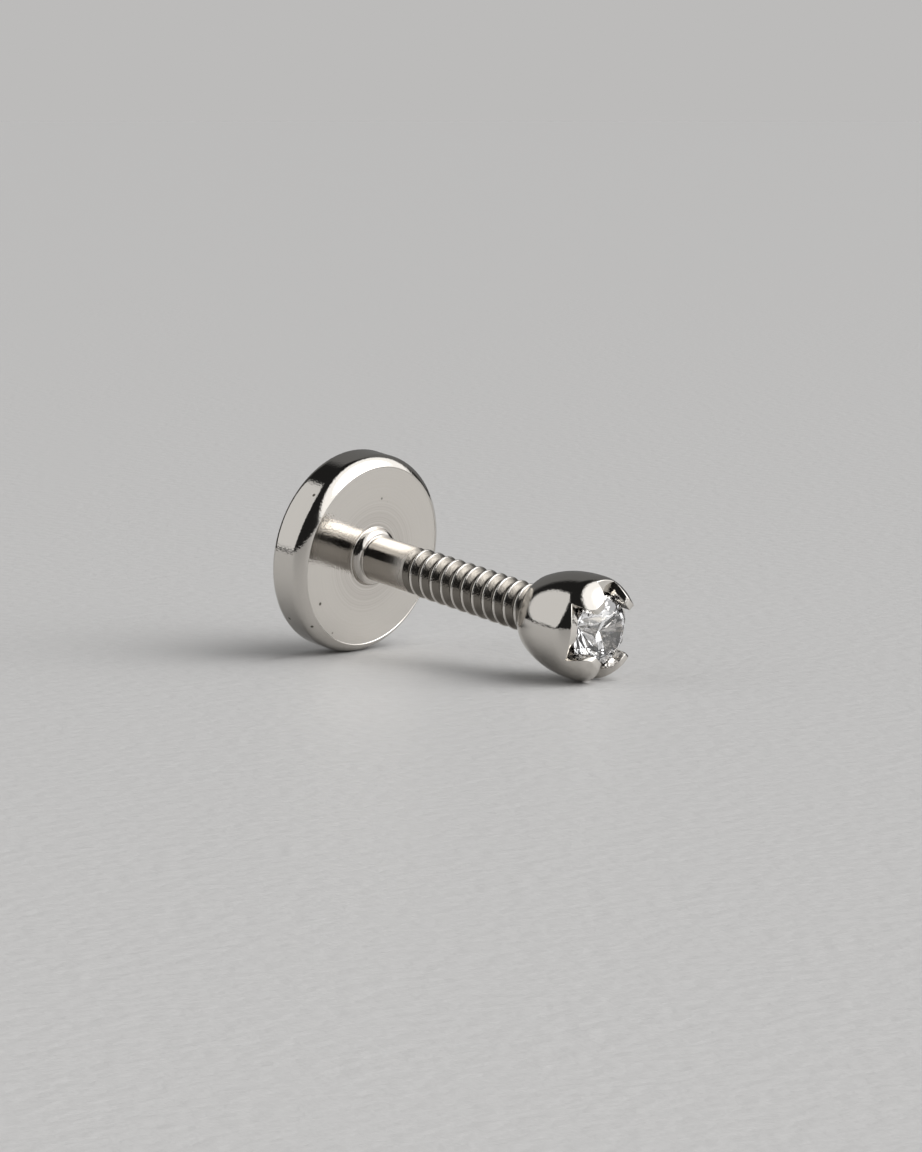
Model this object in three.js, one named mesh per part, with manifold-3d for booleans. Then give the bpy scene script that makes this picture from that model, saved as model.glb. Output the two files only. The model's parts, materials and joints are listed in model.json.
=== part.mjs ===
// A flat-back piercing stud with a screw-on stone head, lying on its side as it does when unworn.
// Millimetres, +Z up. Every piece is turned about the post's axis, its own +Y, and measured along it
// from the disc's back face. One group then lays the stud down on its rim and the belly of its head.
import * as THREE from 'three';
import { ConvexGeometry } from 'three/addons/geometries/ConvexGeometry.js';
import { mergeVertices } from 'three/addons/utils/BufferGeometryUtils.js';
import Module from 'manifold-3d';

// Disc: flat inside face with a crisp edge, a rounded shoulder, and a softer back edge
const DISC_RADIUS = 2.2;
const DISC_THICKNESS = 0.95;
const DISC_FACE_RADIUS = 1.98;
const DISC_SHOULDER = 0.33;
const DISC_BACK_ROUND = 0.2;
const DISC_SIDES = 48;

// Collar where the post stands on the disc
const COLLAR_RADIUS = 0.66;
const COLLAR_HEIGHT = 0.24;

// Post and its screw thread, which runs on inside the head
const POST_RADIUS = 0.495;
const THREAD_START = 2.27;
const THREAD_PITCH = 0.3;
const THREAD_TURNS = 13;
const THREAD_CREST_RADIUS = 0.523;
const THREAD_CORE_RADIUS = 0.44;
const THREAD_STEPS = 12;
const THREAD_SUNK = 0.035;

// Head: outline of the bulb from its back lip to the outer edge of the prong tips
const BULB_OUTLINE = [
  { along: 5.48, radius: 0.6 },
  { along: 5.62, radius: 0.68 },
  { along: 5.85, radius: 0.79 },
  { along: 6.15, radius: 0.93 },
  { along: 6.6, radius: 1.07 },
  { along: 7.1, radius: 1.125 },
  { along: 7.35, radius: 1.1 },
  { along: 7.6, radius: 0.985 },
  { along: 7.74, radius: 0.885 },
  { along: 7.82, radius: 0.8 },
];
const BULB_STEPS = 18;
const BULB_BELLY = { along: 7.27, radius: 1.112 };
const HEAD_SIDES = 32;
const BORE_RADIUS = 0.565;
const BORE_END = 6.6;

// Gaps that leave the four prongs: wide ones at the sides, narrow ones above and below
const SIDE_GAP_HALF_ANGLE = THREE.MathUtils.degToRad(35);
const SIDE_GAP_FLOOR = { middle: 7.54, corner: 7.38 };
const SIDE_GAP_REACH = 2.2;
const ARCH_STEPS = 3;
const END_GAP_WIDTH = 0.46;
const END_GAP_FLOOR = 7.48;

// Stone: a round brilliant, and the clearance round it in its seat
const STONE_RADIUS = 0.78;
const STONE_GIRDLE = 7.46;
const GIRDLE_THICKNESS = 0.04;
const CROWN_HEIGHT = 0.25;
const TABLE_RADIUS = 0.44;
const KITE = { radius: 0.62, rise: 0.145 };
const PAVILION_DEPTH = 0.64;
const LOWER_HALF = { radius: 0.22, depth: 0.5 };
const CULET_RADIUS = 0.02;
const SEAT_CLEARANCE = 0.05;
const FACET_FOLD = 8;

// Where the lying stud touches down: the shoulder of the disc and the belly of the bulb
const DISC_FLAT = DISC_RADIUS * Math.cos(Math.PI / DISC_SIDES);
const DISC_REST = { along: DISC_THICKNESS - DISC_SHOULDER, radius: DISC_FLAT };
const HEAD_REST = { along: BULB_BELLY.along, radius: BULB_BELLY.radius * Math.cos(Math.PI / HEAD_SIDES) };
const TILT = Math.atan2(DISC_REST.radius - HEAD_REST.radius, HEAD_REST.along - DISC_REST.along);

// Points nearer than this are one corner
const MERGE_DISTANCE = 1e-5;

const wasm = await Module();
wasm.setup();

function solidOf(geometry) {
  const bare = geometry.clone();
  bare.deleteAttribute('normal');
  bare.deleteAttribute('uv');
  const merged = mergeVertices(bare, MERGE_DISTANCE);
  const vertProperties = new Float32Array(merged.attributes.position.array);
  const triVerts = new Uint32Array(merged.index.array);
  return new wasm.Manifold(new wasm.Mesh({ numProp: 3, vertProperties, triVerts }));
}

function geometryOf(solid) {
  const { vertProperties, triVerts } = solid.getMesh();
  const geometry = new THREE.BufferGeometry();
  geometry.setAttribute('position', new THREE.BufferAttribute(vertProperties, 3));
  geometry.setIndex(new THREE.BufferAttribute(triVerts, 1));
  geometry.computeVertexNormals();
  return geometry;
}

// A turned piece from points of (radius, along); half a side of turn puts a flat facet underneath
function turned(points, sides) {
  return new THREE.LatheGeometry(points, sides, Math.PI / sides);
}

// Points on a quarter of an ellipse, from one angle to another, as a list for a turned outline
function quarter(radius, along, reachOut, reachAlong, from, to, steps) {
  const curve = new THREE.EllipseCurve(radius, along, reachOut, reachAlong, from, to, to < from);
  return curve.getPoints(steps);
}

// The thread is one round-lobed section pushed along the post while it turns once for every pitch
class ThreadRun extends THREE.LineCurve3 {
  computeFrenetFrames(segments) {
    const tangents = [];
    const normals = [];
    const binormals = [];
    for (let i = 0; i <= segments; i += 1) {
      const turn = (i / THREAD_STEPS) * 2 * Math.PI;
      tangents.push(new THREE.Vector3(0, 1, 0));
      normals.push(new THREE.Vector3(Math.sin(turn), 0, Math.cos(turn)));
      binormals.push(new THREE.Vector3(Math.cos(turn), 0, -Math.sin(turn)));
    }
    return { tangents, normals, binormals };
  }
}

function screwThread() {
  const corners = [];
  for (let i = 0; i < THREAD_STEPS; i += 1) {
    const offCrest = Math.abs((2 * i) / THREAD_STEPS - 1);
    const ridge = Math.sqrt(1 - offCrest ** 4);
    const radius = THREAD_CORE_RADIUS + (THREAD_CREST_RADIUS - THREAD_CORE_RADIUS) * ridge;
    const turn = (i / THREAD_STEPS) * 2 * Math.PI;
    corners.push(new THREE.Vector2(radius * Math.cos(turn), radius * Math.sin(turn)));
  }
  const foot = new THREE.Vector3(0, THREAD_START - THREAD_SUNK, 0);
  const tip = new THREE.Vector3(0, foot.y + THREAD_TURNS * THREAD_PITCH, 0);
  const sweep = {
    extrudePath: new ThreadRun(foot, tip),
    steps: THREAD_TURNS * THREAD_STEPS,
    bevelEnabled: false,
  };
  return new THREE.ExtrudeGeometry(new THREE.Shape(corners), sweep);
}

// Disc, collar, post and thread, made from one bar
function flatBackPost() {
  const shoulderReach = DISC_RADIUS - DISC_FACE_RADIUS;
  const collarReach = COLLAR_RADIUS - POST_RADIUS;
  const backRadius = DISC_RADIUS - DISC_BACK_ROUND;
  const outline = [
    new THREE.Vector2(0, 0),
    ...quarter(backRadius, DISC_BACK_ROUND, DISC_BACK_ROUND, DISC_BACK_ROUND, -Math.PI / 2, 0, 4),
    ...quarter(DISC_FACE_RADIUS, DISC_REST.along, shoulderReach, DISC_SHOULDER, 0, Math.PI / 2, 5),
    ...quarter(POST_RADIUS, DISC_THICKNESS, collarReach, COLLAR_HEIGHT, 0, Math.PI / 2, 4),
    new THREE.Vector2(POST_RADIUS, THREAD_START),
    new THREE.Vector2(0, THREAD_START),
  ];
  const bar = solidOf(turned(outline, DISC_SIDES));
  return geometryOf(bar.add(solidOf(screwThread())));
}

// How far forward the sloping crown of the stone reaches at a radius between table and girdle
function crownAlong(radius) {
  const slope = CROWN_HEIGHT / (STONE_RADIUS - TABLE_RADIUS);
  return STONE_GIRDLE + GIRDLE_THICKNESS / 2 + (STONE_RADIUS - radius) * slope;
}

// What opens one side of the cup: a wedge seen from the front, whose floor is a low arch seen from the side
function sideGap(front, turn) {
  const half = SIDE_GAP_REACH * Math.tan(SIDE_GAP_HALF_ANGLE);
  const plan = new THREE.Shape();
  plan.moveTo(0, 0);
  plan.lineTo(SIDE_GAP_REACH, -half);
  plan.lineTo(SIDE_GAP_REACH, half);
  plan.closePath();
  const wedge = new THREE.ExtrudeGeometry(plan, { depth: front, bevelEnabled: false });
  wedge.rotateX(-Math.PI / 2);
  wedge.rotateY(turn);
  const corner = HEAD_REST.radius * Math.sin(SIDE_GAP_HALF_ANGLE);
  const rise = SIDE_GAP_FLOOR.middle - SIDE_GAP_FLOOR.corner;
  const side = new THREE.Shape();
  side.moveTo(-half, front);
  side.lineTo(-half, SIDE_GAP_FLOOR.corner);
  for (let i = -ARCH_STEPS; i <= ARCH_STEPS; i += 1) {
    const across = i / ARCH_STEPS;
    side.lineTo(corner * across, SIDE_GAP_FLOOR.corner + rise * (1 - across ** 2));
  }
  side.lineTo(half, SIDE_GAP_FLOOR.corner);
  side.lineTo(half, front);
  side.closePath();
  const arch = new THREE.ExtrudeGeometry(side, { depth: SIDE_GAP_REACH, bevelEnabled: false });
  arch.rotateY(Math.PI / 2 + turn);
  return solidOf(wedge).intersect(solidOf(arch));
}

// Bulb-shaped cup: blind bore at the back, seat for the stone, and four prongs that lean over its crown
function prongSetting() {
  const girdleBottom = STONE_GIRDLE - GIRDLE_THICKNESS / 2;
  const seatRadius = STONE_RADIUS + SEAT_CLEARANCE;
  const seatBottom = girdleBottom - PAVILION_DEPTH - SEAT_CLEARANCE;
  const corners = BULB_OUTLINE.map(({ along, radius }) => new THREE.Vector2(radius, along));
  const back = BULB_OUTLINE[0];
  const tip = BULB_OUTLINE[BULB_OUTLINE.length - 1];
  const tipInside = tip.radius - SEAT_CLEARANCE;
  const outline = [
    new THREE.Vector2(0, BORE_END),
    new THREE.Vector2(BORE_RADIUS, BORE_END),
    new THREE.Vector2(BORE_RADIUS, back.along),
    ...new THREE.SplineCurve(corners).getPoints(BULB_STEPS),
    new THREE.Vector2(tipInside, tip.along - SEAT_CLEARANCE),
    new THREE.Vector2(tipInside, crownAlong(tipInside) + SEAT_CLEARANCE),
    new THREE.Vector2(seatRadius, crownAlong(seatRadius) + 2 * SEAT_CLEARANCE),
    new THREE.Vector2(seatRadius, girdleBottom),
    new THREE.Vector2(SEAT_CLEARANCE, seatBottom),
    new THREE.Vector2(0, seatBottom),
  ];
  const front = tip.along + SEAT_CLEARANCE;
  const near = sideGap(front, 0);
  const far = sideGap(front, Math.PI);
  const endHeight = front - END_GAP_FLOOR;
  const ends = new THREE.BoxGeometry(END_GAP_WIDTH, endHeight, 4 * HEAD_REST.radius);
  ends.translate(0, END_GAP_FLOOR + endHeight / 2, 0);
  const cup = solidOf(turned(outline, HEAD_SIDES));
  return geometryOf(cup.subtract(near).subtract(far).subtract(solidOf(ends)));
}

// Round brilliant: table, stars, kites and girdle facets above; mains and halves down to the culet
function brilliantStone() {
  const girdleTop = STONE_GIRDLE + GIRDLE_THICKNESS / 2;
  const girdleBottom = STONE_GIRDLE - GIRDLE_THICKNESS / 2;
  const rings = [
    { radius: TABLE_RADIUS, along: girdleTop + CROWN_HEIGHT, count: FACET_FOLD, shift: 0 },
    { radius: KITE.radius, along: girdleTop + KITE.rise, count: FACET_FOLD, shift: 0.5 },
    { radius: STONE_RADIUS, along: girdleTop, count: 2 * FACET_FOLD, shift: 0 },
    { radius: STONE_RADIUS, along: girdleBottom, count: 2 * FACET_FOLD, shift: 0 },
    { radius: LOWER_HALF.radius, along: girdleBottom - LOWER_HALF.depth, count: FACET_FOLD, shift: 0.5 },
    { radius: CULET_RADIUS, along: girdleBottom - PAVILION_DEPTH, count: FACET_FOLD, shift: 0 },
  ];
  const points = [];
  for (const { radius, along, count, shift } of rings) {
    for (let i = 0; i < count; i += 1) {
      const turn = ((i + shift) / count) * 2 * Math.PI;
      points.push(new THREE.Vector3(radius * Math.sin(turn), along, radius * Math.cos(turn)));
    }
  }
  return new ConvexGeometry(points);
}

const polishedSteel = new THREE.MeshStandardMaterial({ color: 0xc9c7c4, roughness: 0.12, metalness: 1 });
const brightSteel = new THREE.MeshStandardMaterial({ color: 0xcfcdca, roughness: 0.08, metalness: 1 });
const clearStone = new THREE.MeshStandardMaterial({ color: 0xf2f4f6, roughness: 0.02, metalness: 0 });

function piece(name, geometry, material) {
  const mesh = new THREE.Mesh(geometry, material);
  mesh.name = name;
  return mesh;
}

const stud = new THREE.Group();
stud.add(piece('flat_back_post', flatBackPost(), polishedSteel));
stud.add(piece('prong_setting', prongSetting(), brightSteel));
stud.add(piece('brilliant_stone', brilliantStone(), clearStone));

// Lie down along +X with the head low, then stand the box's bottom centre on the origin
stud.rotation.set(0, TILT, -Math.PI / 2);
stud.updateMatrixWorld(true);
const box = new THREE.Box3().setFromObject(stud, true);
const centre = box.getCenter(new THREE.Vector3());
stud.position.set(-centre.x, -centre.y, -box.min.z);
stud.updateMatrixWorld(true);

export default stud;
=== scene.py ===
import functools
import json
import math

import bmesh
import bpy
from mathutils import Matrix, Vector


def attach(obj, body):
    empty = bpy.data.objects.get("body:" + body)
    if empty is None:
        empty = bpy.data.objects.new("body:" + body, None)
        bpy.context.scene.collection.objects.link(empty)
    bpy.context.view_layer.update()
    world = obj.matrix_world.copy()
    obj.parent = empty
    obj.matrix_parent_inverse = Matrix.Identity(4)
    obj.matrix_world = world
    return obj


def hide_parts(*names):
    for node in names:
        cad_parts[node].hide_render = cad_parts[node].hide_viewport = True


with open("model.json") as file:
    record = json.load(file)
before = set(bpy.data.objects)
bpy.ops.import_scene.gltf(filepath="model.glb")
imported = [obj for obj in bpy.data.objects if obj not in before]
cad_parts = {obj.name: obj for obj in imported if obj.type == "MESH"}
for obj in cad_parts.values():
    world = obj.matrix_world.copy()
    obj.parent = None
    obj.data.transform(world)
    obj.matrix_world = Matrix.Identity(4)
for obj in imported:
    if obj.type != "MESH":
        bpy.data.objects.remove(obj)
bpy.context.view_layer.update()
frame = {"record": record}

# Flat disc, collar and post. One bar of surgical steel, turned on a lathe and mirror polished: a disc
# that is flat on both faces with a rounded shoulder, a bead where the post stands on it, and the post,
# which ends along the first groove of the thread. Sizes are in millimetres and angles in degrees.
DISC_RADIUS = 2.2
DISC_THICKNESS = 0.95
BACK_ROUND = 0.2
SHOULDER_FOOT = 0.62
FACE_RADIUS = 1.98
SHOULDER_TURN = 62
FACE_EDGE_ROUND = 0.014
FACE_STEP, FACE_STEP_SLOPE = 0.016, 0.012
COLLAR_RADIUS = 0.645
COLLAR_HEIGHT = 0.18
CREASE_ROUND = 0.02
POST_RADIUS = 0.495
THREAD_START = 2.145
THREAD_CORE_RADIUS = 0.423
THREAD_PITCH = 0.3
THREAD_FIRST_ANGLE = -90
POST_STEPS = 192
BACK_STEPS, SHOULDER_STEPS, COLLAR_STEPS = 12, 24, 16
CORNER_STEPS = 4
FLAT_LENGTH = 0.4
FLAT_CUTS = 24
STEEL_HEX = "C8C4BE"
MERGE_MM = 1e-5
CRISP_ANGLE = 35
MM = 0.001

# Every piece is modelled in millimetres round its own z axis, measured from the back of the disc, and
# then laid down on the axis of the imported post: its x points up and its y to the near side.
back_mount = next(m for m in frame["record"]["mounts"] if m["name"] == "flat_back")
back_point = Vector(back_mount["pos_m"])
post_axis = -Vector(back_mount["axis"])
post_up = post_axis.cross(Vector((0, 1, 0)))
post_turn = Matrix((post_up, post_axis.cross(post_up), post_axis)).transposed()
lie_down = Matrix.Translation(back_point) @ post_turn.to_4x4() @ Matrix.Scale(MM, 4)


def arc(centre, reach, start, end, steps):
    """Points on an ellipse round a (radius, along) centre, from one angle to another in degrees."""
    turns = [math.radians(start + (end - start) * i / steps) for i in range(steps + 1)]
    return [(centre[0] + reach[0] * math.cos(t), centre[1] + reach[1] * math.sin(t)) for t in turns]


def draw_outline(bm, points):
    """A chain of edges through (radius, along) points; returns its vertices in order."""
    verts = [bm.verts.new((radius, 0, along)) for radius, along in points]
    for pair in zip(verts, verts[1:]):
        bm.edges.new(pair)
    return verts


def round_corner(bm, point, size):
    """Rounds the corner of a drawn outline that lies at a (radius, along) point."""
    place = Vector((point[0], 0, point[1]))
    bmesh.ops.bevel(
        bm,
        geom=[min(bm.verts, key=lambda vert: (vert.co - place).length)],
        offset=size,
        offset_type="OFFSET",
        segments=CORNER_STEPS,
        profile=0.5,
        affect="VERTICES",
        material=-1,
    )


def turn_on_lathe(bm, steps):
    """Spins the drawn outline once round the z axis."""
    bmesh.ops.spin(
        bm,
        geom=[*bm.verts, *bm.edges],
        cent=(0, 0, 0),
        axis=(0, 0, 1),
        angle=2 * math.pi,
        steps=steps,
        use_merge=True,
    )


def lay_in_place(name, bm, material, smooth=True):
    """Closes a piece's seams, turns its faces outwards, keeps its edges crisp and lays it down."""
    bmesh.ops.remove_doubles(bm, verts=bm.verts, dist=MERGE_MM)
    bmesh.ops.recalc_face_normals(bm, faces=bm.faces)
    bmesh.ops.transform(bm, matrix=lie_down, verts=bm.verts)
    for face in bm.faces:
        face.smooth = smooth
    for edge in bm.edges:
        edge.smooth = edge.calc_face_angle(0) < math.radians(CRISP_ANGLE)
    mesh = bpy.data.meshes.new(name)
    bm.to_mesh(mesh)
    bm.free()
    mesh.materials.append(material)
    piece = bpy.data.objects.new(name, mesh)
    bpy.context.scene.collection.objects.link(piece)
    return piece


def linear(hex_colour):
    """An sRGB hex colour as linear red, green, blue and alpha."""
    shares = [int(hex_colour[i : i + 2], 16) / 255 for i in (0, 2, 4)]
    return [s / 12.92 if s <= 0.04045 else ((s + 0.055) / 1.055) ** 2.4 for s in shares] + [1.0]


def add_node(tree, kind, inputs, **settings):
    """Adds a node with its settings; an input is a number, a colour or another node's output."""
    node = tree.nodes.new(kind)
    for name, value in settings.items():
        setattr(node, name, value)
    for socket, value in inputs.items():
        if isinstance(value, bpy.types.NodeSocket):
            tree.links.new(value, node.inputs[socket])
        else:
            node.inputs[socket].default_value = value
    return node


def start_material(name):
    """A material with an empty tree of nodes, and that tree."""
    material = bpy.data.materials.new(name)
    material.use_nodes = True
    tree = material.node_tree
    tree.nodes.clear()
    return material, tree


def measure_on_post(tree):
    """Coordinates on a piece: millimetres round the post's axis, from the back of the disc."""
    place = add_node(tree, "ShaderNodeTexCoord", {})
    turned = {
        "Vector": place.outputs["Object"],
        "Location": back_point,
        "Rotation": post_turn.to_euler(),
        "Scale": (MM, MM, MM),
    }
    return add_node(tree, "ShaderNodeMapping", turned, vector_type="TEXTURE").outputs["Vector"]


def measure_off_axis(tree, on_post):
    """How far a place on the post is from its axis, in millimetres."""
    across = add_node(tree, "ShaderNodeVectorMath", {0: on_post, 1: (1, 1, 0)}, operation="MULTIPLY")
    length = add_node(tree, "ShaderNodeVectorMath", {0: across.outputs["Vector"]}, operation="LENGTH")
    return length.outputs["Value"]


# Noise keeps mostly between these two values.
NOISE_LOW, NOISE_HIGH = 0.3, 0.7
HAZE_MM = 0.6


def finish_steel(tree, on_post, colour, roughness, grain, normal=None):
    """Steel with a cloudy haze between two roughnesses and a bumpy grain of a size and a depth in mm."""
    grain_mm, depth_mm = grain
    clouds = add_node(
        tree, "ShaderNodeTexNoise", {"Vector": on_post, "Scale": 1 / HAZE_MM, "Detail": 4.0}
    )
    haze = add_node(
        tree,
        "ShaderNodeMapRange",
        {
            "Value": clouds.outputs["Fac"],
            "From Min": NOISE_LOW,
            "From Max": NOISE_HIGH,
            "To Min": roughness[0],
            "To Max": roughness[1],
        },
    )
    specks = add_node(
        tree, "ShaderNodeTexNoise", {"Vector": on_post, "Scale": 1 / grain_mm, "Detail": 2.0}
    )
    relief = {"Height": specks.outputs["Fac"], "Strength": 1.0, "Distance": depth_mm * MM}
    if normal:
        relief["Normal"] = normal
    bump = add_node(tree, "ShaderNodeBump", relief)
    surface = {
        "Base Color": colour,
        "Metallic": 1.0,
        "Roughness": haze.outputs["Result"],
        "Normal": bump.outputs["Normal"],
    }
    shader = add_node(tree, "ShaderNodeBsdfPrincipled", surface)
    add_node(tree, "ShaderNodeOutputMaterial", {"Surface": shader.outputs["BSDF"]})
    return shader, haze


# Surgical steel, mirror polished: a grey mirror with a fine polishing grain that breaks up the edges of
# what it reflects, faint rings of the turning tool round the foot of the post, and a few dark pits.
# Towards the thread the polish fades into a dull end.
POLISH_ROUGHNESS = (0.05, 0.1)
POLISH_GRAIN_MM = (0.045, 0.002)
RING_MM = 0.045
RING_DEPTH_MM = 0.0012
RING_HEX = "B4AFA9"
RINGS_STRONG, RINGS_FAINT, FAINT_SHARE = 0.7, 1.35, 0.1
RINGS_ABOVE = 0.5
PIT_SPACING_MM = 0.6
PIT_MM, PIT_CORE_MM = 0.045, 0.027
PIT_HEX = "5A554F"
DULL_FROM, DULL_TO = 1.6, 2.3
DULL_ROUGHNESS = 0.22
DULL_INSIDE, DULL_OUTSIDE = 0.5, 0.52
steel, tree = start_material("mirror_polished_steel")
on_post = measure_on_post(tree)
apart = add_node(tree, "ShaderNodeSeparateXYZ", {"Vector": on_post})
off_axis = measure_off_axis(tree, on_post)
ring_noise = add_node(
    tree,
    "ShaderNodeTexNoise",
    {"W": off_axis, "Scale": 1 / RING_MM, "Detail": 1.0},
    noise_dimensions="1D",
)
rings = add_node(
    tree,
    "ShaderNodeMapRange",
    {"Value": ring_noise.outputs["Fac"], "From Min": NOISE_LOW, "From Max": NOISE_HIGH},
)
near_post = add_node(
    tree,
    "ShaderNodeMapRange",
    {
        "Value": off_axis,
        "From Min": RINGS_STRONG,
        "From Max": RINGS_FAINT,
        "To Min": 1.0,
        "To Max": FAINT_SHARE,
    },
)
on_face = add_node(
    tree, "ShaderNodeMath", {0: apart.outputs["Z"], 1: RINGS_ABOVE}, operation="GREATER_THAN"
)
fading = add_node(
    tree,
    "ShaderNodeMath",
    {0: rings.outputs["Result"], 1: near_post.outputs["Result"]},
    operation="MULTIPLY",
)
ring_share = add_node(
    tree,
    "ShaderNodeMath",
    {0: fading.outputs["Value"], 1: on_face.outputs["Value"]},
    operation="MULTIPLY",
)
ring_bump = add_node(
    tree,
    "ShaderNodeBump",
    {"Height": ring_share.outputs["Value"], "Strength": 1.0, "Distance": RING_DEPTH_MM * MM},
)
ringed = add_node(
    tree,
    "ShaderNodeMix",
    {0: ring_share.outputs["Value"], 6: linear(STEEL_HEX), 7: linear(RING_HEX)},
    data_type="RGBA",
)
pits = add_node(tree, "ShaderNodeTexVoronoi", {"Vector": on_post, "Scale": 1 / PIT_SPACING_MM})
off_pit = add_node(
    tree,
    "ShaderNodeMapRange",
    {
        "Value": pits.outputs["Distance"],
        "From Min": PIT_CORE_MM / PIT_SPACING_MM,
        "From Max": PIT_MM / PIT_SPACING_MM,
    },
)
pitted = add_node(
    tree,
    "ShaderNodeMix",
    {0: off_pit.outputs["Result"], 6: linear(PIT_HEX), 7: ringed.outputs[2]},
    data_type="RGBA",
)
shader, polish = finish_steel(
    tree,
    on_post,
    pitted.outputs[2],
    POLISH_ROUGHNESS,
    POLISH_GRAIN_MM,
    ring_bump.outputs["Normal"],
)
on_bar = add_node(
    tree,
    "ShaderNodeMapRange",
    {"Value": off_axis, "From Min": DULL_OUTSIDE, "From Max": DULL_INSIDE},
)
dulling = add_node(
    tree,
    "ShaderNodeMapRange",
    {"Value": apart.outputs["Z"], "From Min": DULL_FROM, "From Max": DULL_TO, "To Max": DULL_ROUGHNESS},
)
dull_end = add_node(
    tree,
    "ShaderNodeMath",
    {0: dulling.outputs["Result"], 1: on_bar.outputs["Result"], 2: polish.outputs["Result"]},
    operation="MULTIPLY_ADD",
)
tree.links.new(dull_end.outputs["Value"], shader.inputs["Roughness"])

# The shoulder is part of an ellipse that stops short of the face, which leaves the face its crisp edge.
shoulder_out = (DISC_RADIUS - FACE_RADIUS) / (1 - math.cos(math.radians(SHOULDER_TURN)))
shoulder_up = (DISC_THICKNESS - SHOULDER_FOOT) / math.sin(math.radians(SHOULDER_TURN))
disc_outline = [
    (0, 0),
    *arc((DISC_RADIUS - BACK_ROUND, BACK_ROUND), (BACK_ROUND, BACK_ROUND), -90, 0, BACK_STEPS),
    *arc(
        (DISC_RADIUS - shoulder_out, SHOULDER_FOOT),
        (shoulder_out, shoulder_up),
        0,
        SHOULDER_TURN,
        SHOULDER_STEPS,
    ),
]
# The face is turned a hair lower than its edge.
face_along = DISC_THICKNESS - FACE_STEP
face_edge = (FACE_RADIUS - FACE_STEP_SLOPE, face_along)
collar_outline = arc(
    (POST_RADIUS, face_along), (COLLAR_RADIUS - POST_RADIUS, COLLAR_HEIGHT), 0, 90, COLLAR_STEPS
)
post_end = [(POST_RADIUS, THREAD_START), (THREAD_CORE_RADIUS, THREAD_START), (0, THREAD_START)]
post_bm = bmesh.new()
draw_outline(post_bm, [*disc_outline, face_edge, *collar_outline, *post_end])
flats = [edge for edge in post_bm.edges if edge.calc_length() > FLAT_LENGTH]
bmesh.ops.subdivide_edges(post_bm, edges=flats, cuts=FLAT_CUTS)
round_corner(post_bm, disc_outline[-1], FACE_EDGE_ROUND)
round_corner(post_bm, collar_outline[0], CREASE_ROUND)
round_corner(post_bm, collar_outline[-1], CREASE_ROUND)
turn_on_lathe(post_bm, POST_STEPS)
# The plain post stops along the first groove of the thread, which winds away from the disc.
for vert in post_bm.verts:
    if vert.co.z > THREAD_START - MERGE_MM and vert.co.to_2d().length > THREAD_CORE_RADIUS / 2:
        turned = math.degrees(math.atan2(vert.co.y, vert.co.x)) - THREAD_FIRST_ANGLE
        vert.co.z += THREAD_PITCH * (turned % 360) / 360
flat_post = lay_in_place("polished_disc_and_post", post_bm, steel)
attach(flat_post, "post")
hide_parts("flat_back_post")

# Screw thread. It is cut on the end of the same bar, right-handed, as a low V with a rounded crest and
# root; its flanks keep the dull grain of the cutter. The head is screwed on over its far end.
THREAD_CREST_RADIUS = 0.523
THREAD_TURNS = 13
THREAD_STEPS = 64
THREAD_MERGE_MM = 1e-4
RIDGE_POINTS = 40
THREAD_SHARPNESS = 0.92
THREAD_CREST_SHARE = 0.46
# The thread starts on the falling side of a ridge, where that is as wide as the plain post.
THREAD_FIRST_SHARE = 0.632


def thread_radius(share):
    """The thread's radius at a share of the pitch from root to root: a V with a rounded crest and root."""
    if share < THREAD_CREST_SHARE:
        turn = math.pi * share / THREAD_CREST_SHARE
    else:
        turn = math.pi * (1 + (share - THREAD_CREST_SHARE) / (1 - THREAD_CREST_SHARE))
    wave = math.asin(-THREAD_SHARPNESS * math.cos(turn)) / math.asin(THREAD_SHARPNESS)
    return THREAD_CORE_RADIUS + (THREAD_CREST_RADIUS - THREAD_CORE_RADIUS) * (1 + wave) / 2


def ridge_outline():
    """One pitch of the thread, from where it starts on the falling side of a ridge."""
    shares = [i / RIDGE_POINTS for i in range(RIDGE_POINTS + 1)]
    return [
        (thread_radius((THREAD_FIRST_SHARE + share) % 1), THREAD_START + THREAD_PITCH * share)
        for share in shares
    ]


# Cut steel: satin, darker than the polish, with the coarse grain of the cutter. Along its crest, which
# begins at the two radii below, a lighter colour is painted on as a highlight.
THREAD_HEX = "7F7A73"
CREST_HIGHLIGHT_HEX = "DDD9D3"
HIGHLIGHT_FROM, HIGHLIGHT_TO = 0.502, 0.512
CUT_ROUGHNESS = (0.18, 0.27)
CUT_GRAIN_MM = (0.05, 0.0065)
thread_steel, tree = start_material("machined_satin_steel")
on_post = measure_on_post(tree)
# Painted highlight: past these radii the crest's colour is mixed towards a light grey.
crest_highlight = add_node(
    tree,
    "ShaderNodeMapRange",
    {"Value": measure_off_axis(tree, on_post), "From Min": HIGHLIGHT_FROM, "From Max": HIGHLIGHT_TO},
)
cut_colour_and_highlight = add_node(
    tree,
    "ShaderNodeMix",
    {0: crest_highlight.outputs["Result"], 6: linear(THREAD_HEX), 7: linear(CREST_HIGHLIGHT_HEX)},
    data_type="RGBA",
)
finish_steel(tree, on_post, cut_colour_and_highlight.outputs[2], CUT_ROUGHNESS, CUT_GRAIN_MM)

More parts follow.
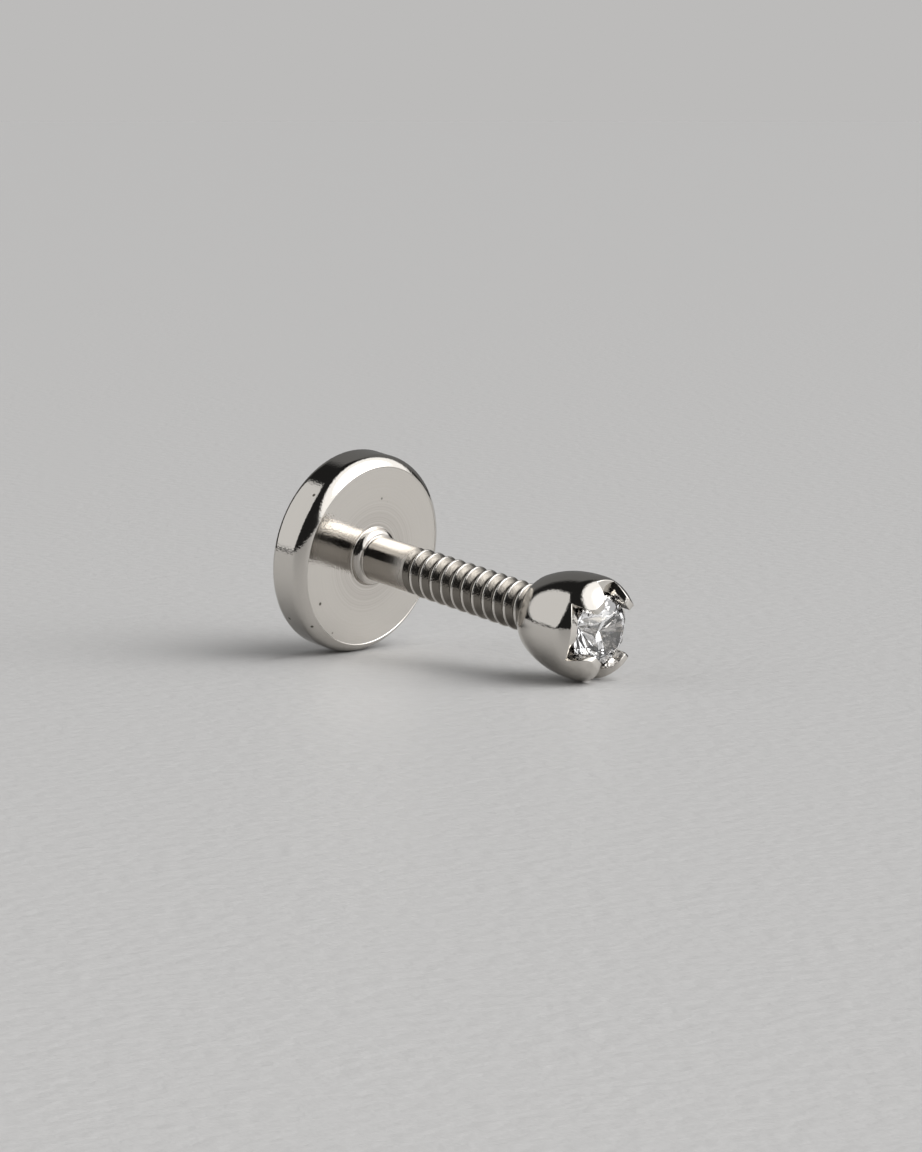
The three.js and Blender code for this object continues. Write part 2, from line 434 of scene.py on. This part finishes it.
thread_bm = bmesh.new()
draw_outline(thread_bm, ridge_outline())
bmesh.ops.rotate(
    thread_bm,
    verts=thread_bm.verts,
    cent=(0, 0, 0),
    matrix=Matrix.Rotation(math.radians(THREAD_FIRST_ANGLE), 3, "Z"),
)
bmesh.ops.spin(
    thread_bm,
    geom=[*thread_bm.verts, *thread_bm.edges],
    cent=(0, 0, 0),
    axis=(0, 0, 1),
    dvec=(0, 0, THREAD_PITCH / THREAD_STEPS),
    angle=2 * math.pi,
    steps=THREAD_STEPS,
)
first_turn = [*thread_bm.verts, *thread_bm.edges, *thread_bm.faces]
for i in range(1, THREAD_TURNS):
    copied = bmesh.ops.duplicate(thread_bm, geom=first_turn)["geom"]
    next_turn = [part for part in copied if isinstance(part, bmesh.types.BMVert)]
    bmesh.ops.translate(thread_bm, verts=next_turn, vec=(0, 0, THREAD_PITCH * i))
bmesh.ops.remove_doubles(thread_bm, verts=thread_bm.verts, dist=THREAD_MERGE_MM)
# Each open end is closed with a cap that runs in to the axis.
open_edges = [edge for edge in thread_bm.edges if edge.is_boundary]
middle = THREAD_START + THREAD_PITCH * THREAD_TURNS / 2
capped = bmesh.ops.extrude_edge_only(thread_bm, edges=open_edges)["geom"]
cap_verts = [part for part in capped if isinstance(part, bmesh.types.BMVert)]
for end_verts in (
    [vert for vert in cap_verts if vert.co.z < middle],
    [vert for vert in cap_verts if vert.co.z >= middle],
):
    cap_along = sum(vert.co.z for vert in end_verts) / len(end_verts)
    bmesh.ops.pointmerge(thread_bm, verts=end_verts, merge_co=(0, 0, cap_along))
thread = lay_in_place("screw_thread", thread_bm, thread_steel)
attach(thread, "post")

# Prong setting. A bulb of the same steel, turned, bored at the back for the thread and hollowed at the
# front for the stone; saw cuts leave four prongs that are pressed over its crown and polished round.
# Places round it are angles in degrees from the top towards the near side.
BELLY_ALONG = 7.18
BELLY_RADIUS = 1.121
BACK_REACH, BACK_POWER = 2.19, 2.4
FRONT_REACH, FRONT_POWER = 1.253, 1.864
LIP_ALONG = 5.72
LIP_ROUND = 0.26
BORE_RADIUS = 0.55
BORE_ROUND = 0.02
BORE_END = 6.35
SLIDE_FROM = 7.0
# Each prong: its middle, its half width and how far along its tip is.
PRONGS = ((32, 21, 7.78), (147, 27, 7.86), (-144, 22, 7.82), (-37, 19, 7.76))
# Two powers shape a prong's edge: square towards the gaps on the sides, rounder at the top and bottom.
SIDE_SHAPE = (7, 0.5)
END_SHAPE = (2.4, 0.7)
PRONG_WALL = 0.15
PRONG_EDGE_ROUND = 0.016
TOP_GAP_FLOOR, BOTTOM_GAP_FLOOR = 7.4, 7.28
SIDE_GAP_CORNER, SIDE_GAP_MIDDLE = 7.36, 7.54
SIDE_GAP_HALF = 36
FAR_GAP_DROP = 0.34
# The lower corner of the near gap is cut away beside the stone.
POCKET_TURN, POCKET_HALF = 112, 14
POCKET_WIDTH, POCKET_DEPTH = 0.2, 0.22
STONE_RADIUS = 0.78
STONE_GIRDLE = 7.46
GIRDLE_THICKNESS = 0.04
CROWN_HEIGHT = 0.25
TABLE_RADIUS = 0.44
PAVILION_DEPTH = 0.64
SEAT_GAP = 0.015
BORE_STEPS, LIP_STEPS, EDGE_STEPS = 4, 8, 3
BACK_ROWS, FRONT_ROWS = 40, 20
ROW_CROWDING = 1.5
LEAST_STEP = 0.005
PLAIN_TURN = 2.5
EDGE_TURNS = (0, 0.2, 0.4, 0.7, 1.0, 1.4, 1.8, 2.3, 3.0, 4.0)
SETTING_HEX = "C9C5BF"
girdle_top = STONE_GIRDLE + GIRDLE_THICKNESS / 2
girdle_bottom = STONE_GIRDLE - GIRDLE_THICKNESS / 2
crown_slope = CROWN_HEIGHT / (STONE_RADIUS - TABLE_RADIUS)


def bulb_radius(along):
    """The outside of the bulb: one curve from its belly back to the lip, another forward to the prongs."""
    behind = BELLY_ALONG - along
    if behind > 0:
        return BELLY_RADIUS * (1 - (behind / BACK_REACH) ** BACK_POWER)
    return BELLY_RADIUS * (1 - (-behind / FRONT_REACH) ** FRONT_POWER)


def rim_along(turn):
    """How far the rim reaches at an angle from the top, and how much of that is prong and not gap."""
    off_prong = [(turn - middle + 180) % 360 - 180 for middle, half, tip in PRONGS]
    nearest = min(range(len(PRONGS)), key=lambda i: abs(off_prong[i]))
    middle, half, tip = PRONGS[nearest]
    if abs(90 - abs(turn)) < abs(90 - abs(middle)):
        off_side = min(1, abs(90 - abs(turn)) / SIDE_GAP_HALF)
        floor = SIDE_GAP_MIDDLE + (SIDE_GAP_CORNER - SIDE_GAP_MIDDLE) * off_side**2
        if turn < 0:
            floor -= FAR_GAP_DROP
        shape = SIDE_SHAPE
    else:
        floor = TOP_GAP_FLOOR if abs(turn) < 90 else BOTTOM_GAP_FLOOR
        shape = END_SHAPE
    prong = max(0, 1 - abs(off_prong[nearest] / half) ** shape[0]) ** shape[1]
    return floor + (tip - floor) * prong, prong


def between(start, end, share):
    """The point at a share of the way from one point to another."""
    return start[0] + (end[0] - start[0]) * share, start[1] + (end[1] - start[1]) * share


def bend(start, corner, end, steps):
    """A rounded corner: the curve from start to end that is pulled towards the corner."""
    shares = [i / steps for i in range(steps + 1)]
    return [between(between(start, corner, t), between(corner, end, t), t) for t in shares]


@functools.lru_cache(maxsize=None)
def setting_outline(turn):
    """The setting's section at an angle from the top: bore, lip, bulb, rounded rim and seat."""
    rim, prong = rim_along(turn)
    lip = (bulb_radius(LIP_ALONG), LIP_ALONG)
    lip_end = (bulb_radius(LIP_ALONG + LIP_ROUND), LIP_ALONG + LIP_ROUND)
    bore_edge = (BORE_RADIUS, LIP_ALONG)
    points = [(0, BORE_END), (BORE_RADIUS, BORE_END)]
    bore_start = (BORE_RADIUS, LIP_ALONG + BORE_ROUND)
    points += bend(bore_start, bore_edge, (BORE_RADIUS + BORE_ROUND, LIP_ALONG), BORE_STEPS)
    points += bend((lip[0] - LIP_ROUND, LIP_ALONG), lip, lip_end, LIP_STEPS)
    for i in range(1, BACK_ROWS):
        along = lip_end[1] + (SLIDE_FROM - lip_end[1]) * i / BACK_ROWS
        points.append((bulb_radius(along), along))
    last = rim - PRONG_EDGE_ROUND
    for i in range(FRONT_ROWS + 1):
        along = SLIDE_FROM + (last - SLIDE_FROM) * (1 - (1 - i / FRONT_ROWS) ** ROW_CROWDING)
        points.append((bulb_radius(along), along))
    outer = (bulb_radius(rim), rim)
    opened = max(0, 1 - ((turn - POCKET_TURN) / POCKET_HALF) ** 2) ** 0.5 * (1 - prong)
    gap_radius = STONE_RADIUS + 2 * SEAT_GAP + POCKET_WIDTH * opened
    inner = (gap_radius * (1 - prong) + (outer[0] - PRONG_WALL) * prong, rim)
    edge = PRONG_EDGE_ROUND / (outer[0] - inner[0])
    points += bend(points[-1], outer, between(outer, inner, edge), EDGE_STEPS)[1:]
    points += [between(outer, inner, share) for share in (2 * edge, 0.5, 1 - 2 * edge)]
    points += bend(between(outer, inner, 1 - edge), inner, (inner[0], last), EDGE_STEPS)
    on_crown = girdle_top + max(0, STONE_RADIUS - inner[0]) * crown_slope + SEAT_GAP
    contact = min(last - PRONG_EDGE_ROUND / 2, on_crown) - POCKET_DEPTH * opened
    pocket_top = min(contact - LEAST_STEP, girdle_top + SEAT_GAP)
    pocket_bottom = min(pocket_top - LEAST_STEP, girdle_bottom)
    seat_end = girdle_bottom - PAVILION_DEPTH - 2 * SEAT_GAP
    points += [
        (inner[0], contact),
        (STONE_RADIUS + SEAT_GAP, pocket_top),
        (STONE_RADIUS + SEAT_GAP, pocket_bottom),
        (4 * SEAT_GAP, seat_end),
        (0, seat_end),
    ]
    return points


# Bright steel: the same metal polished finer than the disc, a clearer mirror with the same faint grain.
BRIGHT_ROUGHNESS = (0.04, 0.07)
BRIGHT_GRAIN_MM = (0.045, 0.0018)
bright_steel, tree = start_material("bright_polished_steel")
finish_steel(tree, measure_on_post(tree), linear(SETTING_HEX), BRIGHT_ROUGHNESS, BRIGHT_GRAIN_MM)

setting_bm = bmesh.new()
row_of = setting_bm.verts.layers.int.new("row")
for row, vert in enumerate(draw_outline(setting_bm, setting_outline(0))):
    vert[row_of] = row
# The turned shape gets its sections close together where the prongs begin and end.
sections = {PLAIN_TURN * i - 180 for i in range(round(360 / PLAIN_TURN))}
for middle, half, tip in PRONGS:
    for edge in (middle - half, middle + half):
        sections |= {(edge + side * off + 180) % 360 - 180 for off in EDGE_TURNS for side in (-1, 1)}
sections = sorted(sections)
turn_on_lathe(setting_bm, len(sections))
for vert in setting_bm.verts:
    spun = math.atan2(vert.co.y, vert.co.x) % (2 * math.pi)
    section = sections[round(spun / (2 * math.pi) * len(sections)) % len(sections)]
    radius, along = setting_outline(section)[vert[row_of]]
    turn = math.radians(section)
    vert.co = (radius * math.cos(turn), radius * math.sin(turn), along)
setting = lay_in_place("prong_setting_polished", setting_bm, bright_steel)
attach(setting, "head")
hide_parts("prong_setting")

# Stone. A clear round brilliant of cubic zirconia, cut with a table, stars, kites and girdle facets
# above and mains and halves below; it sits in the hollow of the bulb, held by the four prongs.
FACET_FOLD = 8
KITE_RADIUS = 0.62
LOWER_HALF_RADIUS = 0.2
CULET_RADIUS = 0.015
FLAT_ANGLE = 0.5
ZIRCONIA_HEX = "FCFCFD"
ZIRCONIA_IOR = 2.16

# Cubic zirconia, cut and polished: colourless and perfectly clear, so its facets flash light and dark.
zirconia, tree = start_material("clear_cubic_zirconia")
stone_shader = add_node(
    tree,
    "ShaderNodeBsdfPrincipled",
    {
        "Base Color": linear(ZIRCONIA_HEX),
        "Roughness": 0.0,
        "IOR": ZIRCONIA_IOR,
        "Transmission Weight": 1.0,
    },
)
add_node(tree, "ShaderNodeOutputMaterial", {"Surface": stone_shader.outputs["BSDF"]})

# The corners of each level span the facets; a shift turns a level by that share of a facet.
pavilion_slope = PAVILION_DEPTH / (STONE_RADIUS - CULET_RADIUS)
half_facet = math.cos(math.pi / FACET_FOLD)
stone_bm = bmesh.new()
for radius, along, corners, shift in (
    (TABLE_RADIUS, girdle_top + CROWN_HEIGHT, FACET_FOLD, 0),
    (KITE_RADIUS, girdle_top + (STONE_RADIUS - KITE_RADIUS * half_facet) * crown_slope, FACET_FOLD, 0.5),
    (STONE_RADIUS, girdle_top, 2 * FACET_FOLD, 0),
    (STONE_RADIUS, girdle_bottom, 2 * FACET_FOLD, 0),
    (
        LOWER_HALF_RADIUS,
        girdle_bottom - (STONE_RADIUS - LOWER_HALF_RADIUS * half_facet) * pavilion_slope,
        FACET_FOLD,
        0.5,
    ),
    (CULET_RADIUS, girdle_bottom - PAVILION_DEPTH, FACET_FOLD, 0),
):
    turn = Matrix.Rotation(2 * math.pi * shift / corners, 4, "Z")
    bmesh.ops.create_circle(
        stone_bm, segments=corners, radius=radius, matrix=Matrix.Translation((0, 0, along)) @ turn
    )
bmesh.ops.convex_hull(stone_bm, input=stone_bm.verts)
bmesh.ops.dissolve_limit(
    stone_bm, angle_limit=math.radians(FLAT_ANGLE), verts=stone_bm.verts, edges=stone_bm.edges
)
stone = lay_in_place("clear_brilliant_stone", stone_bm, zirconia, smooth=False)
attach(stone, "head")
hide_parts("brilliant_stone")

# Floor. A pale surface of smoothed plaster that the stud lies on, wide enough to reach past the picture.
# It has a slight sheen and a fine unevenness.
FLOOR_RADIUS_M = 3.0
FLOOR_SIDES = 96
FLOOR_HEX = "C1C0BF"
FLOOR_ROUGHNESS = 0.45
PLASTER_MM, PLASTER_DEPTH_MM = 0.35, 0.03
floor_paint, tree = start_material("pale_plaster")
place = add_node(tree, "ShaderNodeTexCoord", {})
plaster = add_node(
    tree,
    "ShaderNodeTexNoise",
    {"Vector": place.outputs["Object"], "Scale": 1 / (PLASTER_MM * MM), "Detail": 3.0},
)
floor_bump = add_node(
    tree,
    "ShaderNodeBump",
    {"Height": plaster.outputs["Fac"], "Strength": 1.0, "Distance": PLASTER_DEPTH_MM * MM},
)
floor_shader = add_node(
    tree,
    "ShaderNodeBsdfPrincipled",
    {
        "Base Color": linear(FLOOR_HEX),
        "Roughness": FLOOR_ROUGHNESS,
        "Normal": floor_bump.outputs["Normal"],
    },
)
add_node(tree, "ShaderNodeOutputMaterial", {"Surface": floor_shader.outputs["BSDF"]})
floor_bm = bmesh.new()
bmesh.ops.create_circle(floor_bm, cap_ends=True, segments=FLOOR_SIDES, radius=FLOOR_RADIUS_M)
floor_mesh = bpy.data.meshes.new("floor")
floor_bm.to_mesh(floor_mesh)
floor_bm.free()
floor_mesh.materials.append(floor_paint)
floor = bpy.data.objects.new("floor", floor_mesh)
bpy.context.scene.collection.objects.link(floor)

# Studio. A large round soft box high on the right with a bright middle, a round pale lamp on the left, a
# dim screen behind and a dark room elsewhere: the polished metal mirrors them as pale patches and dark
# bands. Each light is a direction, its reach and soft edge in degrees, and its strength.
ROOM_LIGHT = 0.02
SOFT_LIGHTS = (
    {"towards": (0.663, 0.383, 0.643), "reach": 49, "edge": 3.5, "light": 1.6},
    {"towards": (0.663, 0.383, 0.643), "reach": 22, "edge": 12, "light": 3.2},
    {"towards": (-0.633, -0.591, 0.5), "reach": 32, "edge": 2, "light": 0.9},
    {"towards": (-0.621, 0.74, 0.259), "reach": 39, "edge": 5, "light": 0.16},
)
HORIZON_FROM, HORIZON_TO = 0.02, 0.06
BACKDROP_HEX = "BCBBBA"
world = bpy.data.worlds.new("studio")
bpy.context.scene.world = world
world.use_nodes = True
tree = world.node_tree
tree.nodes.clear()
place = add_node(tree, "ShaderNodeTexCoord", {})
looking = place.outputs["Generated"]
apart = add_node(tree, "ShaderNodeSeparateXYZ", {"Vector": looking})
height = {"Value": apart.outputs["Z"], "From Min": HORIZON_FROM, "From Max": HORIZON_TO}
above = add_node(tree, "ShaderNodeMapRange", height)
total = add_node(tree, "ShaderNodeValue", {})
total.outputs["Value"].default_value = ROOM_LIGHT
for soft in SOFT_LIGHTS:
    facing = Vector(soft["towards"]).normalized()
    ahead = add_node(tree, "ShaderNodeVectorMath", {0: looking, 1: facing}, operation="DOT_PRODUCT")
    falloff = {
        "Value": ahead.outputs["Value"],
        "From Min": math.cos(math.radians(soft["reach"] + soft["edge"])),
        "From Max": math.cos(math.radians(soft["reach"] - soft["edge"])),
        "To Max": soft["light"],
    }
    glow = add_node(tree, "ShaderNodeMapRange", falloff, interpolation_type="SMOOTHSTEP")
    added = {0: glow.outputs["Result"], 1: above.outputs["Result"], 2: total.outputs["Value"]}
    total = add_node(tree, "ShaderNodeMath", added, operation="MULTIPLY_ADD")
room = add_node(tree, "ShaderNodeBackground", {"Color": total.outputs["Value"], "Strength": 1.0})
backdrop = add_node(tree, "ShaderNodeBackground", {"Color": linear(BACKDROP_HEX), "Strength": 1.0})
path = add_node(tree, "ShaderNodeLightPath", {})
seen = add_node(
    tree,
    "ShaderNodeMixShader",
    {0: path.outputs["Is Camera Ray"], 1: room.outputs["Background"], 2: backdrop.outputs["Background"]},
)
add_node(tree, "ShaderNodeOutputWorld", {"Surface": seen.outputs["Shader"]})
bpy.context.scene.view_settings.view_transform = "Standard"

# Camera. A long lens close to the surface, on the near right side of the stud, just above its post.
LENS_MM, SENSOR_MM = 120, 36
NEAREST_MM = 5
CAMERA_TURN = 42.257
CAMERA_RISE = 6.97
CAMERA_DISTANCE_MM = 83.96
LOOK_AT_MM = Vector((-1.964, 1.894, 1.589))
turn, rise = math.radians(CAMERA_TURN), math.radians(CAMERA_RISE)
back = Vector((math.sin(turn) * math.cos(rise), -math.cos(turn) * math.cos(rise), math.sin(rise)))
camera = bpy.data.objects.new("camera", bpy.data.cameras.new("camera"))
camera.data.lens = LENS_MM
camera.data.sensor_width = SENSOR_MM
camera.data.clip_start = NEAREST_MM * MM
camera.location = (LOOK_AT_MM + back * CAMERA_DISTANCE_MM) * MM
camera.rotation_euler = back.to_track_quat("Z", "Y").to_euler()
bpy.context.scene.collection.objects.link(camera)
bpy.context.scene.camera = camera
